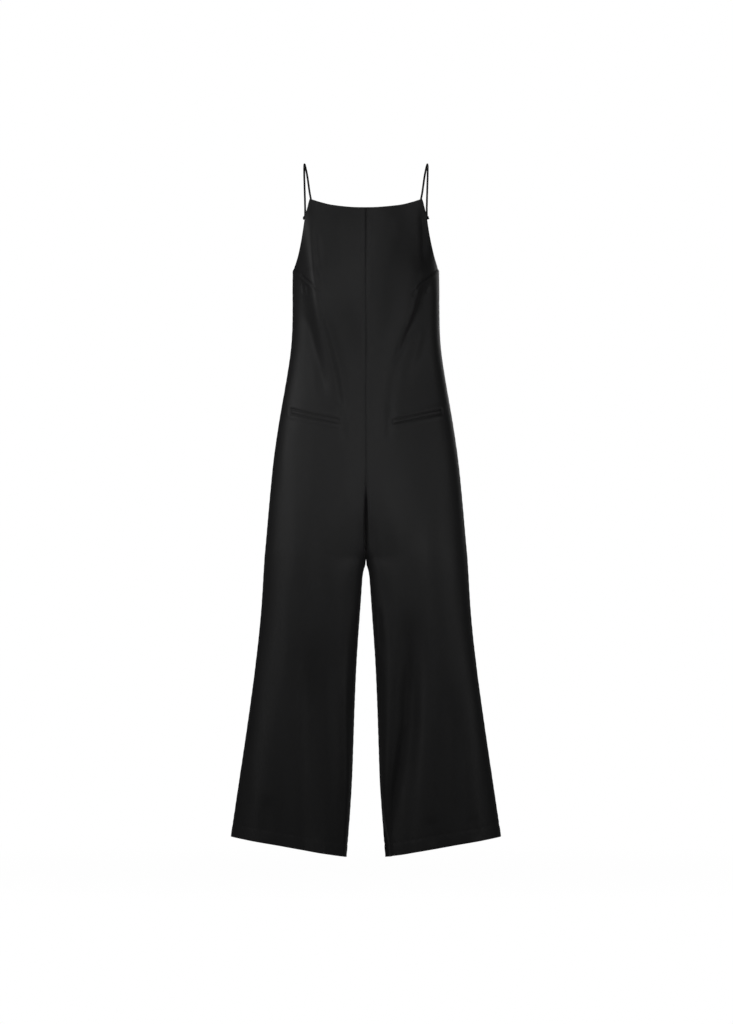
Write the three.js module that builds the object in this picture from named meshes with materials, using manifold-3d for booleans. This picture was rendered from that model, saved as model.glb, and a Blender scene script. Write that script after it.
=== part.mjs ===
// A strappy wide-leg jumpsuit in black crepe, hollow and filled out as it is when it hangs from the shoulders.
// Four full-length panels, two front and two back, meet at the centre front, centre back, side and inside leg seams.
// Millimetres, +Z up. The front faces -Y and the wearer's left is +X. The origin is midway between the two
// shoulders, level with the underside of the straps, so every drop below is a distance down from there.
import * as THREE from "three";
import Module from "manifold-3d";
import { mergeVertices } from "three/addons/utils/BufferGeometryUtils.js";

const wasm = await Module();
wasm.setup();

const CLOTH = 1.2; // thickness of one layer of the wall
const HEM_PLY = 2; // layers where the hem is turned up
const SEAM_GAP = 0.3; // between two pieces that are sewn together
const COLUMNS = 18; // steps across a panel

// Levels on the body, as drops.
const FRONT_CORNER = 77; // where the strap leaves the front neckline
const FRONT_DIP = 92; // the middle of the front neckline
const BACK_CORNER = 110;
const BACK_DIP = 150;
const UNDERARM = 239;
const RISE_START = 560; // the centre seams start to turn under here
const CROTCH = 868;
const INNER_HEM = 1522; // the hem slants, with its inner corner the lowest
const OUTER_HEM = 1477;
const HEM_DEPTH = 28;

// How the centre seam turns under between the legs: late, above 1, and with a soft end, above 1.
const RISE = { late: 2.6, soft: 1.5 };
// Below 1 this flattens the front and back of each section and rounds its sides.
const SECTION_POWER = 0.8;

// One row for each level. outline is half the width that shows from the front, front and back are the depths
// from the side seam, and the turns are how far round, in degrees from the middle, the armhole edge lies.
const FIGURE = [
  { drop: 77, outline: 120.5, front: 60, back: 56, frontTurn: 37, backTurn: 34 },
  { drop: 92, outline: 128, front: 65, back: 59, frontTurn: 41, backTurn: 36 },
  { drop: 110, outline: 132.6, front: 71, back: 62, frontTurn: 47, backTurn: 40 },
  { drop: 150, outline: 137.2, front: 82, back: 70, frontTurn: 57, backTurn: 52 },
  { drop: 195, outline: 147.4, front: 92, back: 76, frontTurn: 70, backTurn: 66 },
  { drop: 222, outline: 155.7, front: 97, back: 78, frontTurn: 80, backTurn: 78 },
  { drop: 239, outline: 161.3, front: 99, back: 78, frontTurn: 90, backTurn: 90 },
  { drop: 294, outline: 161.3, front: 103, back: 75, frontTurn: 90, backTurn: 90 },
  { drop: 360, outline: 161.9, front: 94, back: 66, frontTurn: 90, backTurn: 90 },
  { drop: 404, outline: 164.6, front: 85, back: 62, frontTurn: 90, backTurn: 90 },
  { drop: 470, outline: 174.5, front: 79, back: 69, frontTurn: 90, backTurn: 90 },
  { drop: 558, outline: 189.9, front: 82, back: 86, frontTurn: 90, backTurn: 90 },
  { drop: 646, outline: 203, front: 85, back: 97, frontTurn: 90, backTurn: 90 },
  { drop: 734, outline: 211.9, front: 85, back: 98, frontTurn: 90, backTurn: 90 },
  { drop: 822, outline: 219.6, front: 82, back: 90, frontTurn: 90, backTurn: 90 },
  { drop: 868, outline: 223.7, front: 80, back: 84, frontTurn: 90, backTurn: 90 },
  { drop: 998, outline: 232, front: 72, back: 73, frontTurn: 90, backTurn: 90 },
  { drop: 1130, outline: 247, front: 64, back: 65, frontTurn: 90, backTurn: 90 },
  { drop: 1262, outline: 265.6, front: 61, back: 62, frontTurn: 90, backTurn: 90 },
  { drop: 1394, outline: 285.2, front: 63, back: 64, frontTurn: 90, backTurn: 90 },
  { drop: 1522, outline: 304.2, front: 67, back: 68, frontTurn: 90, backTurn: 90 },
];

// How far the inside leg seam stands from the middle, below the crotch.
const INSIDE_LEG = [
  { drop: 868, inner: 0 },
  { drop: 876, inner: 4.6 },
  { drop: 888, inner: 6.2 },
  { drop: 954, inner: 10.6 },
  { drop: 1086, inner: 20 },
  { drop: 1174, inner: 24 },
  { drop: 1262, inner: 27 },
  { drop: 1350, inner: 30 },
  { drop: 1438, inner: 35.5 },
  { drop: 1522, inner: 42.4 },
];

// The soft folds. bearing is the way a fold faces: 90 is straight out of the front or back, 180 is the side seam
// and 0 is the inside leg. rise is how far the cloth stands out there (in, where negative), and spread is half
// the fold's width, in degrees.
const FOLDS = [
  {
    // From the strap over the bust and in towards the belly.
    face: "front",
    spread: 12,
    run: [
      { drop: 77, bearing: 127, rise: 1 },
      { drop: 129, bearing: 136, rise: 3 },
      { drop: 187, bearing: 141, rise: 4.5 },
      { drop: 242, bearing: 135, rise: 6 },
      { drop: 297, bearing: 131, rise: 7 },
      { drop: 363, bearing: 124.5, rise: 7.5 },
      { drop: 429, bearing: 119, rise: 6 },
      { drop: 495, bearing: 112, rise: 3.5 },
      { drop: 605, bearing: 105, rise: 1.5 },
      { drop: 690, bearing: 101, rise: 0 },
    ],
  },
  {
    // The hollow outside that fold.
    face: "front",
    spread: 11,
    run: [
      { drop: 200, bearing: 150, rise: 0 },
      { drop: 297, bearing: 149, rise: -3 },
      { drop: 363, bearing: 141, rise: -4.5 },
      { drop: 429, bearing: 136, rise: -3.5 },
      { drop: 495, bearing: 129, rise: -2 },
      { drop: 580, bearing: 122, rise: 0 },
    ],
  },
  {
    // The hollow inside it.
    face: "front",
    spread: 10,
    run: [
      { drop: 184, bearing: 115, rise: 0 },
      { drop: 297, bearing: 113, rise: -2 },
      { drop: 363, bearing: 107, rise: -2.5 },
      { drop: 429, bearing: 103, rise: -1.5 },
      { drop: 520, bearing: 99, rise: 0 },
    ],
  },
  {
    // Down the front of each leg, drifting to the inside leg.
    face: "front",
    spread: 12,
    run: [
      { drop: 700, bearing: 96, rise: 0 },
      { drop: 781, bearing: 89, rise: 2 },
      { drop: 868, bearing: 68, rise: 3 },
      { drop: 957, bearing: 58.5, rise: 4 },
      { drop: 1067, bearing: 49, rise: 5.5 },
      { drop: 1177, bearing: 42.5, rise: 7 },
      { drop: 1287, bearing: 37, rise: 8 },
      { drop: 1397, bearing: 32, rise: 7.5 },
      { drop: 1522, bearing: 26, rise: 6 },
    ],
  },
  {
    // The trough beside it.
    face: "front",
    spread: 14,
    run: [
      { drop: 700, bearing: 105, rise: 0 },
      { drop: 781, bearing: 99, rise: -2 },
      { drop: 868, bearing: 80, rise: -3 },
      { drop: 957, bearing: 75, rise: -4.5 },
      { drop: 1067, bearing: 71, rise: -7 },
      { drop: 1177, bearing: 65, rise: -9 },
      { drop: 1287, bearing: 59, rise: -10 },
      { drop: 1397, bearing: 51, rise: -9.5 },
      { drop: 1522, bearing: 40, rise: -8 },
    ],
  },
  {
    // Shallow waves that open towards the hem.
    face: "front",
    spread: 14,
    run: [
      { drop: 1130, bearing: 90, rise: 0 },
      { drop: 1262, bearing: 84, rise: 2.5 },
      { drop: 1394, bearing: 78, rise: 4.5 },
      { drop: 1522, bearing: 73, rise: 6 },
    ],
  },
  {
    face: "front",
    spread: 13,
    run: [
      { drop: 1130, bearing: 114, rise: 0 },
      { drop: 1262, bearing: 108, rise: -2 },
      { drop: 1394, bearing: 101, rise: -4 },
      { drop: 1522, bearing: 95, rise: -6 },
    ],
  },
  {
    face: "front",
    spread: 13,
    run: [
      { drop: 1180, bearing: 142, rise: 0 },
      { drop: 1394, bearing: 130, rise: 3 },
      { drop: 1522, bearing: 124, rise: 5 },
    ],
  },
  {
    // From the back corner down beside the shoulder blade to the small of the back.
    face: "back",
    spread: 13,
    run: [
      { drop: 110, bearing: 126, rise: 1 },
      { drop: 195, bearing: 133, rise: 3 },
      { drop: 297, bearing: 135, rise: 5 },
      { drop: 404, bearing: 128, rise: 6 },
      { drop: 492, bearing: 126, rise: 3 },
      { drop: 602, bearing: 126, rise: 0 },
    ],
  },
  {
    // The hollow inside it.
    face: "back",
    spread: 12,
    run: [
      { drop: 195, bearing: 118, rise: 0 },
      { drop: 320, bearing: 114, rise: -4 },
      { drop: 404, bearing: 110, rise: -4.5 },
      { drop: 520, bearing: 108, rise: 0 },
    ],
  },
  {
    // Down the back of each leg from under the seat.
    face: "back",
    spread: 14,
    run: [
      { drop: 734, bearing: 101, rise: 0 },
      { drop: 868, bearing: 83, rise: 3.5 },
      { drop: 1064, bearing: 66, rise: 7 },
      { drop: 1262, bearing: 54, rise: 9 },
      { drop: 1394, bearing: 48, rise: 9 },
      { drop: 1522, bearing: 43, rise: 7 },
    ],
  },
  {
    // The trough beside it.
    face: "back",
    spread: 15,
    run: [
      { drop: 790, bearing: 120, rise: 0 },
      { drop: 868, bearing: 109, rise: -2 },
      { drop: 998, bearing: 98, rise: -5 },
      { drop: 1262, bearing: 87, rise: -9 },
      { drop: 1522, bearing: 79, rise: -8 },
    ],
  },
  {
    // A wave that opens towards the hem.
    face: "back",
    spread: 13,
    run: [
      { drop: 1130, bearing: 134, rise: 0 },
      { drop: 1394, bearing: 122, rise: 4 },
      { drop: 1522, bearing: 117, rise: 6 },
    ],
  },
];
const SEAM_HOLD = 0.1; // folds die away over this share of a panel beside a seam

const HALF_TURN = Math.PI;
const QUARTER_TURN = Math.PI / 2;
const clamp = THREE.MathUtils.clamp;
const lerp = THREE.MathUtils.lerp;
const smoothstep = THREE.MathUtils.smoothstep;

// One column of a table at any drop, on a smooth curve through its rows.
function along(table, column, drop) {
  const last = table.length - 1;
  const at = clamp(drop, table[0].drop, table[last].drop);
  const k = clamp(table.findIndex((row) => row.drop > at) - 1, 0, last - 1);
  const from = at === table[last].drop ? last - 1 : k;
  const slope = (i) => {
    const before = table[Math.max(i - 1, 0)];
    const after = table[Math.min(i + 1, last)];
    return (after[column] - before[column]) / (after.drop - before.drop);
  };
  const [a, b] = [table[from], table[from + 1]];
  const span = b.drop - a.drop;
  const t = (at - a.drop) / span;
  const bend = t * (1 - t) * span;
  return (
    lerp(a[column], b[column], t * t * (3 - 2 * t)) +
    bend * ((1 - t) * slope(from) - t * slope(from + 1))
  );
}

// How far the folds move the cloth out at a place on a panel.
function foldRise(face, drop, across, bearing) {
  const atSide = drop > UNDERARM ? smoothstep(1 - across, 0, SEAM_HOLD) : 1;
  const held = smoothstep(across, 0, SEAM_HOLD) * atSide;
  let rise = 0;
  for (const fold of FOLDS) {
    const [first, last] = [fold.run[0].drop, fold.run[fold.run.length - 1].drop];
    if (fold.face !== face || drop < first || drop > last) continue;
    const off = (bearing - along(fold.run, "bearing", drop)) / fold.spread;
    rise += along(fold.run, "rise", drop) * Math.exp(-off * off);
  }
  return rise * held;
}

// The outer face of the cloth. A section is part of an oval: a quarter of one down the trunk, growing to half
// of one round each leg as the centre seam turns under.
function cloth(panel, drop, across) {
  const { side, face } = panel;
  const turn = THREE.MathUtils.degToRad(along(FIGURE, `${face}Turn`, drop));
  const depth = along(FIGURE, face, drop);
  const outer = along(FIGURE, "outline", drop);
  const inner = along(INSIDE_LEG, "inner", drop);
  const risen = clamp((drop - RISE_START) / (CROTCH - RISE_START), 0, 1) ** RISE.late;
  const turned = 1 - (1 - risen) ** RISE.soft;
  const radius = (outer - inner) / (turned + Math.sin(turn));
  const middle = inner + radius * turned;
  const start = Math.acos(turned);
  const angle = lerp(start, QUARTER_TURN + turn, across);
  const [c, s] = [Math.cos(angle), Math.max(Math.sin(angle), 0)];
  const out = new THREE.Vector2(-c / radius, s / depth).normalize();
  const rise = foldRise(face, drop, across, THREE.MathUtils.radToDeg(angle));
  const x = middle - radius * c + out.x * rise + SEAM_GAP / 2;
  const y = depth * s ** SECTION_POWER + out.y * rise + SEAM_GAP / 2;
  return new THREE.Vector3(side * x, face === "front" ? -y : y, -drop);
}

// 1 where dropping then going across turns the outward way, and -1 on the mirrored panels.
const handed = (panel) => panel.side * (panel.face === "front" ? 1 : -1);

// The outward normal at a place on a panel, from points just beside it.
function clothNormal(panel, drop, across) {
  const [dropStep, acrossStep] = [1, 0.004];
  const [left, right] = [Math.max(across - acrossStep, 0), Math.min(across + acrossStep, 1)];
  const alongDrop = cloth(panel, drop + dropStep, across).sub(cloth(panel, drop - dropStep, across));
  const alongAcross = cloth(panel, drop, right).sub(cloth(panel, drop, left));
  return alongDrop.cross(alongAcross).multiplyScalar(handed(panel)).normalize();
}

// A closed wall between two grids of points. near(i, j) and far(i, j) give the faces, i across and j down, and
// turned says that going down then across points from far to near.
function wall(near, far, columns, rows, turned) {
  const positions = [];
  for (const face of [near, far])
    for (let j = 0; j <= rows; j++)
      for (let i = 0; i <= columns; i++) positions.push(...face(i, j).toArray());
  const layer = (columns + 1) * (rows + 1);
  const at = (i, j) => j * (columns + 1) + i;
  const index = [];
  const quad = (a, b, c, d) => index.push(...(turned ? [a, b, c, a, c, d] : [a, c, b, a, d, c]));
  for (let j = 0; j < rows; j++)
    for (let i = 0; i < columns; i++) {
      const [a, b, c, d] = [at(i, j), at(i, j + 1), at(i + 1, j + 1), at(i + 1, j)];
      quad(a, b, c, d);
      quad(a + layer, d + layer, c + layer, b + layer);
    }
  const rim = (a, b) => quad(a, b, b + layer, a + layer);
  for (let i = 0; i < columns; i++) {
    rim(at(i, 0), at(i + 1, 0));
    rim(at(i + 1, rows), at(i, rows));
  }
  for (let j = 0; j < rows; j++) {
    rim(at(0, j + 1), at(0, j));
    rim(at(columns, j), at(columns, j + 1));
  }
  const geometry = new THREE.BufferGeometry();
  geometry.setAttribute("position", new THREE.Float32BufferAttribute(positions, 3));
  geometry.setIndex(index);
  geometry.computeVertexNormals();
  return geometry;
}

// The levels that a panel's rows run through. Each zone goes from the level above it to its own inner and outer
// drops, ease packs its rows towards its start (above 1) or its end (below 0), and bow is the power that shapes
// a slanting row.
function zones(face) {
  const [dip, corner] = face === "front" ? [FRONT_DIP, FRONT_CORNER] : [BACK_DIP, BACK_CORNER];
  return [
    { inner: dip, outer: corner, rows: 0, ease: 1, bow: 2 },
    { inner: UNDERARM, outer: UNDERARM, rows: 8, ease: -1.5, bow: 2 },
    { inner: RISE_START, outer: RISE_START, rows: 9, ease: 1, bow: 1 },
    { inner: CROTCH, outer: CROTCH, rows: 12, ease: -1.8, bow: 1 },
    { inner: INNER_HEM - HEM_DEPTH, outer: OUTER_HEM - HEM_DEPTH, rows: 15, ease: 1.25, bow: 1 },
    { inner: INNER_HEM, outer: OUTER_HEM, rows: 1, ease: 1, bow: 1 },
  ];
}

// Every row of a panel, as its inner and outer drop.
function rowsOf(face) {
  const list = zones(face);
  const rows = [{ inner: list[0].inner, outer: list[0].outer, bow: list[0].bow }];
  for (let z = 1; z < list.length; z++) {
    const { rows: count, ease, bow } = list[z];
    for (let k = 1; k <= count; k++) {
      const t = ease > 0 ? (k / count) ** ease : 1 - (1 - k / count) ** -ease;
      rows.push({
        inner: lerp(list[z - 1].inner, list[z].inner, t),
        outer: lerp(list[z - 1].outer, list[z].outer, t),
        bow,
      });
    }
  }
  return rows;
}

// The drop of a row at a place across it. A neckline row bows, and a leg row is straight and slants.
function rowDrop(row, across) {
  const share = row.bow === 2 ? Math.sin(across * QUARTER_TURN) ** 2 : (1 - Math.cos(across * HALF_TURN)) / 2;
  return lerp(row.inner, row.outer, share);
}

// One full-length panel, as a wall with its hem turned up inside.
function panelGeometry(panel) {
  const rows = rowsOf(panel.face);
  const last = rows.length - 1;
  const place = (i, j) => [rowDrop(rows[j], i / COLUMNS), i / COLUMNS];
  const outside = (i, j) => cloth(panel, ...place(i, j));
  const inside = (i, j) => {
    const thickness = CLOTH * (j === last ? HEM_PLY : 1);
    return outside(i, j).addScaledVector(clothNormal(panel, ...place(i, j)), -thickness);
  };
  return wall(outside, inside, COLUMNS, last, handed(panel) > 0);
}

// The welt of each hip pocket, lying on the front panel.
const WELT = { innerX: 60, innerDrop: 563.6, outerX: 165, outerDrop: 541.6, height: 9, columns: 12 };

// Where a front panel is, across, at a distance from the middle. Only for the trunk, above the rise.
function acrossOf(x, drop) {
  return Math.asin(clamp(x / along(FIGURE, "outline", drop), 0, 1)) / QUARTER_TURN;
}

function weltGeometry(side) {
  const panel = { side, face: "front" };
  const point = (lift) => (i, j) => {
    const t = i / WELT.columns;
    const x = lerp(WELT.innerX, WELT.outerX, t);
    const drop = lerp(WELT.innerDrop, WELT.outerDrop, t) + (j - 0.5) * WELT.height;
    const across = acrossOf(x, drop);
    return cloth(panel, drop, across).addScaledVector(clothNormal(panel, drop, across), lift);
  };
  return wall(point(SEAM_GAP + CLOTH), point(SEAM_GAP), WELT.columns, 1, handed(panel) > 0);
}

// A rolled strap, sewn to the front corner, that goes over the shoulder to a knot on the back corner.
const STRAP = { diameter: 4.4, halfSides: 5, steps: 40 };
const STRAP_RUN = [
  { x: 123.8, y: -46.5, drop: 62 },
  { x: 126.2, y: -40, drop: 44 },
  { x: 128.6, y: -32.5, drop: 26 },
  { x: 132, y: -23, drop: 9.5 },
  { x: 134.3, y: -12, drop: 0.4 },
  { x: 135.2, y: 0, drop: -2.2 },
  { x: 135.9, y: 12, drop: 0.4 },
  { x: 136.1, y: 23, drop: 9.5 },
  { x: 135.9, y: 32.5, drop: 27 },
  { x: 135.2, y: 41, drop: 50 },
  { x: 134.4, y: 49.5, drop: 80 },
];
const STRAP_SEAT = 0.9; // the strap's end stands this far above the corner it is sewn to
const KNOT = { radius: 3.1, drop: 115, segments: 12, rings: 8 };

function knotCentre(side) {
  const panel = { side, face: "back" };
  const away = KNOT.radius + SEAM_GAP + 0.1;
  return cloth(panel, KNOT.drop, 1).addScaledVector(clothNormal(panel, KNOT.drop, 1), away);
}

function strapGeometry(side) {
  const front = { side, face: "front" };
  const corner = cloth(front, FRONT_CORNER, 1).addScaledVector(clothNormal(front, FRONT_CORNER, 1), -CLOTH / 2);
  corner.z += STRAP_SEAT;
  const knot = knotCentre(side);
  const end = knot.clone().add(new THREE.Vector3(0, 0, KNOT.radius + SEAM_GAP + 0.1));
  const run = STRAP_RUN.map(({ x, y, drop }) => new THREE.Vector3(side * x, y, -drop));
  const path = new THREE.CatmullRomCurve3([corner, ...run, end], false, "centripetal");
  const round = new THREE.Shape();
  round.absarc(0, 0, STRAP.diameter / 2, 0, 2 * Math.PI, false);
  return new THREE.ExtrudeGeometry(round, {
    steps: STRAP.steps,
    curveSegments: STRAP.halfSides,
    extrudePath: path,
  });
}

// The concealed zip in the centre back seam: only its slider's bridge and its pull tab stand outside the cloth.
const ZIP = {
  drop: 159, // the middle of the bridge
  width: 2.4,
  base: 0.8,
  inside: 1.8, // the room under the bridge
  bar: 0.9,
  reach: 5.6, // the bridge's length down the seam
  tabThickness: 1,
  tabWidth: 6,
  tabLength: 21,
  eyeWidth: 3.6,
  eyeLength: 4.2,
  eyeTop: 0.55, // from the hinge line down to the eye
};

// A manifold solid from a three.js geometry.
function solid(geometry) {
  const bare = geometry.clone();
  bare.deleteAttribute("normal");
  bare.deleteAttribute("uv");
  const merged = mergeVertices(bare, 1e-4);
  const mesh = new wasm.Mesh({
    numProp: 3,
    vertProperties: new Float32Array(merged.attributes.position.array),
    triVerts: new Uint32Array(merged.index.array),
  });
  return new wasm.Manifold(mesh);
}

function geometryOf(body) {
  const mesh = body.getMesh();
  const geometry = new THREE.BufferGeometry();
  geometry.setAttribute("position", new THREE.Float32BufferAttribute(mesh.vertProperties, 3));
  geometry.setIndex(Array.from(mesh.triVerts));
  geometry.computeVertexNormals();
  return geometry;
}

// A box whose lowest corner in x, y and z is given.
function block(x, y, z, width, depth, height) {
  const geometry = new THREE.BoxGeometry(width, depth, height);
  return geometry.translate(x + width / 2, y + depth / 2, z + height / 2);
}

// The zip's own frame: its origin is on the hinge line, y points out of the cloth and z up the seam.
function sliderGeometry() {
  const foot = -ZIP.inside / 2 - ZIP.base;
  const depth = ZIP.base + ZIP.inside + ZIP.bar;
  const low = -ZIP.bar - ZIP.inside / 2;
  const whole = solid(block(-ZIP.width / 2, foot, low, ZIP.width, depth, ZIP.reach));
  const room = solid(
    block(-ZIP.width, -ZIP.inside / 2, low + ZIP.bar, 2 * ZIP.width, ZIP.inside, ZIP.reach - 2 * ZIP.bar),
  );
  return geometryOf(whole.subtract(room));
}

// A teardrop tab with a bar at its top that turns under the bridge.
function tabGeometry() {
  const [half, narrow] = [ZIP.tabWidth / 2, ZIP.tabWidth * 0.42];
  const top = ZIP.eyeTop;
  const drop = new THREE.Shape();
  drop.moveTo(-narrow, top);
  drop.lineTo(narrow, top);
  drop.quadraticCurveTo(narrow, -ZIP.eyeLength * 1.6, half, half - ZIP.tabLength);
  drop.absarc(0, half - ZIP.tabLength, half, 0, -Math.PI, true);
  drop.quadraticCurveTo(-narrow, -ZIP.eyeLength * 1.6, -narrow, top);
  const eye = new THREE.Path();
  const eyeHalf = ZIP.eyeWidth / 2;
  eye.moveTo(-eyeHalf, -ZIP.eyeTop);
  eye.lineTo(-eyeHalf, -ZIP.eyeTop - ZIP.eyeLength);
  eye.lineTo(eyeHalf, -ZIP.eyeTop - ZIP.eyeLength);
  eye.lineTo(eyeHalf, -ZIP.eyeTop);
  drop.holes.push(eye);
  const geometry = new THREE.ExtrudeGeometry(drop, {
    depth: ZIP.tabThickness,
    bevelEnabled: false,
    curveSegments: 6,
  });
  return geometry.translate(0, 0, -ZIP.tabThickness / 2).rotateX(QUARTER_TURN);
}

function finish(color, roughness, metalness) {
  return new THREE.MeshStandardMaterial({ color, roughness, metalness });
}

const crepe = finish(0x1d1d1e, 0.62, 0);
const strapCloth = finish(0x141414, 0.6, 0);
const coatedMetal = finish(0x0c0c0c, 0.4, 0.6);

const jumpsuit = new THREE.Group();

function add(name, geometry, material, parent = jumpsuit) {
  const mesh = new THREE.Mesh(geometry, material);
  mesh.name = name;
  parent.add(mesh);
}

for (const [word, side] of [["left", 1], ["right", -1]]) {
  for (const face of ["front", "back"]) add(`${face}_${word}`, panelGeometry({ side, face }), crepe);
  add(`pocket_welt_${word}`, weltGeometry(side), crepe);
  add(`strap_${word}`, strapGeometry(side), strapCloth);
  const knot = new THREE.SphereGeometry(KNOT.radius, KNOT.segments, KNOT.rings);
  const centre = knotCentre(side);
  add(`strap_knot_${word}`, knot.translate(centre.x, centre.y, centre.z), strapCloth);
}

// The zip leans with the cloth behind it.
const back = { side: 1, face: "back" };
const seat = cloth(back, ZIP.drop, 0);
const below = cloth(back, ZIP.drop + ZIP.tabLength, 0);
const zip = new THREE.Group();
zip.rotation.x = Math.atan2(below.y - seat.y, seat.z - below.z);
zip.position.set(0, seat.y + SEAM_GAP + ZIP.base + ZIP.inside / 2, seat.z);
jumpsuit.add(zip);
add("zip_slider", sliderGeometry(), coatedMetal, zip);
add("zip_tab", tabGeometry(), coatedMetal, zip);

export default jumpsuit;
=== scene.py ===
"""A black strappy wide-leg jumpsuit in crepe: its cloth, seams, darts, pockets, straps and zip."""
import math

import bmesh
import bpy
import numpy as np
from mathutils import Matrix, Vector, noise
from mathutils.bvhtree import BVHTree


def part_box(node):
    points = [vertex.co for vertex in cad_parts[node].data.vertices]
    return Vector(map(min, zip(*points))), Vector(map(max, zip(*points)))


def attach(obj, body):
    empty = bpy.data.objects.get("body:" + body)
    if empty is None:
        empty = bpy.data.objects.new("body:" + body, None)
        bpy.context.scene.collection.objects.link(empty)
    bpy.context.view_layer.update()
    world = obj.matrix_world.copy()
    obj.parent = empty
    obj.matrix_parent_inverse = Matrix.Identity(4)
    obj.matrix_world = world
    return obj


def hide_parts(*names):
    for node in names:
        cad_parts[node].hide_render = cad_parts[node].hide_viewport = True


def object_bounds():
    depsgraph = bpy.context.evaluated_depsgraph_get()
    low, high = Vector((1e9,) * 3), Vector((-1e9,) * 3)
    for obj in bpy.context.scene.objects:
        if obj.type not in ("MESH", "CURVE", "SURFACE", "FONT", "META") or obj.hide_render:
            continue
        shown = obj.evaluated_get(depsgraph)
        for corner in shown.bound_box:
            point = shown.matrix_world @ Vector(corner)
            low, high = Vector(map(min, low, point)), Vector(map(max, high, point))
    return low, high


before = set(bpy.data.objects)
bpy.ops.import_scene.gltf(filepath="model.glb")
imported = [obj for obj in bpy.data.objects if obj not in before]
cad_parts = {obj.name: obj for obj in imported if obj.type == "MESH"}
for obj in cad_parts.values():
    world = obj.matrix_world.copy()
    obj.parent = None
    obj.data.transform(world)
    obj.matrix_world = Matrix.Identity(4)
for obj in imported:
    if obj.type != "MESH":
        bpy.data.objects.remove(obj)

cad_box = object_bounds()

MM = 0.001
BODY = "garment"
SIDES = {"left": 1, "right": -1}  # the wearer's left is +X

# The cloth, in millimetres. A drop is a distance down from the shoulders.
CLOTH = 1.0
EDGE_CLOTH = 1.5  # along the neckline and armholes, where the edge is turned in
EDGE_DEPTH = 8
HEM_CLOTH = 2.0  # where the hem is turned up
HEM_DEPTH = 28
SEAM_GAP = 0.3  # what the solids leave between two panels
UNDERARM_DROP = 239
RISE_DROP = 660  # where the centre seams start to draw in
CROTCH_DROP = 868
SEAM_BEND = 8  # how far from a seam the cloth bends to meet the next panel
# The crease above the crotch: its depth, its width, and how far the painted shade darkened into it spreads.
CREVICE = {"depth": 11, "width": 3.2, "painted_shade": 3.6}  # the crease above the crotch
CROTCH_LOWERED = {"by": 9, "down": 26, "across": 24}  # how far below the solids' the crotch lies
HEM_PULL = {"left": 1.1, "right": 0.45}  # how deep the blind stitches pull
SEAM_SINK = 0.6
EDGE_ROLL = 0.55
FAR = 99  # added to a distance where an edge does not count

# How far the front neckline is raised at places across it, and how far its corners are drawn out.
NECKLINE = [(0, -2.6), (41, -4.1), (81, -6.7), (97, -5.4), (111, -2.4), (117, 0.4), (122, 2.0), (140, 2.0)]
CORNER_OUT = 2.6

# How far the cloth stands forward beside the crotch and the inside leg seams, at drops down the garment.
FULLNESS = [
    (700, 0), (740, 2), (780, 6), (820, 13), (850, 23), (870, 28), (905, 25),
    (957, 17), (1060, 9), (1250, 6), (1522, 4),
]
FULLNESS_EASE = 25  # how far the table's corners are rounded
FULL_FROM = {"trunk": 6, "leg": 26, "change": 60}  # how far from the seam the cloth is full
FULL_ACROSS = 40  # and how far from it the fullness fades

# Broad, soft waves in all the cloth, drawn out down the garment.
WAVES = [
    {"height": 1.5, "across": 62, "down": 230, "start": 0},
    {"height": 0.4, "across": 24, "down": 95, "start": 40},
]

# How closely the rows of a panel lie, down the garment.
ROW_STEPS = [
    {"to": 225, "step": 3.4},
    {"to": 305, "step": 1.7},
    {"to": 532, "step": 4.2},
    {"to": 582, "step": 1.5},
    {"to": 868, "step": 4.2},
    {"to": 1440, "step": 5.2},
    {"to": 1600, "step": 2.2},
]
COLUMN_STEPS = 104
EDGE_LINES = (0.25, 0.6, 1.1)  # extra rows and columns that let a panel's edges turn in

# The pocket welt, about 2 lower than on the solids, and the dart under each arm, as places (across, drop).
WELT = {"inner": (60.5, 566.0), "outer": (164.5, 542.6), "height": 9.0}
DART = [(163, 224), (149, 236.5), (134, 251), (118, 264), (108, 276), (95, 288)]
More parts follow.
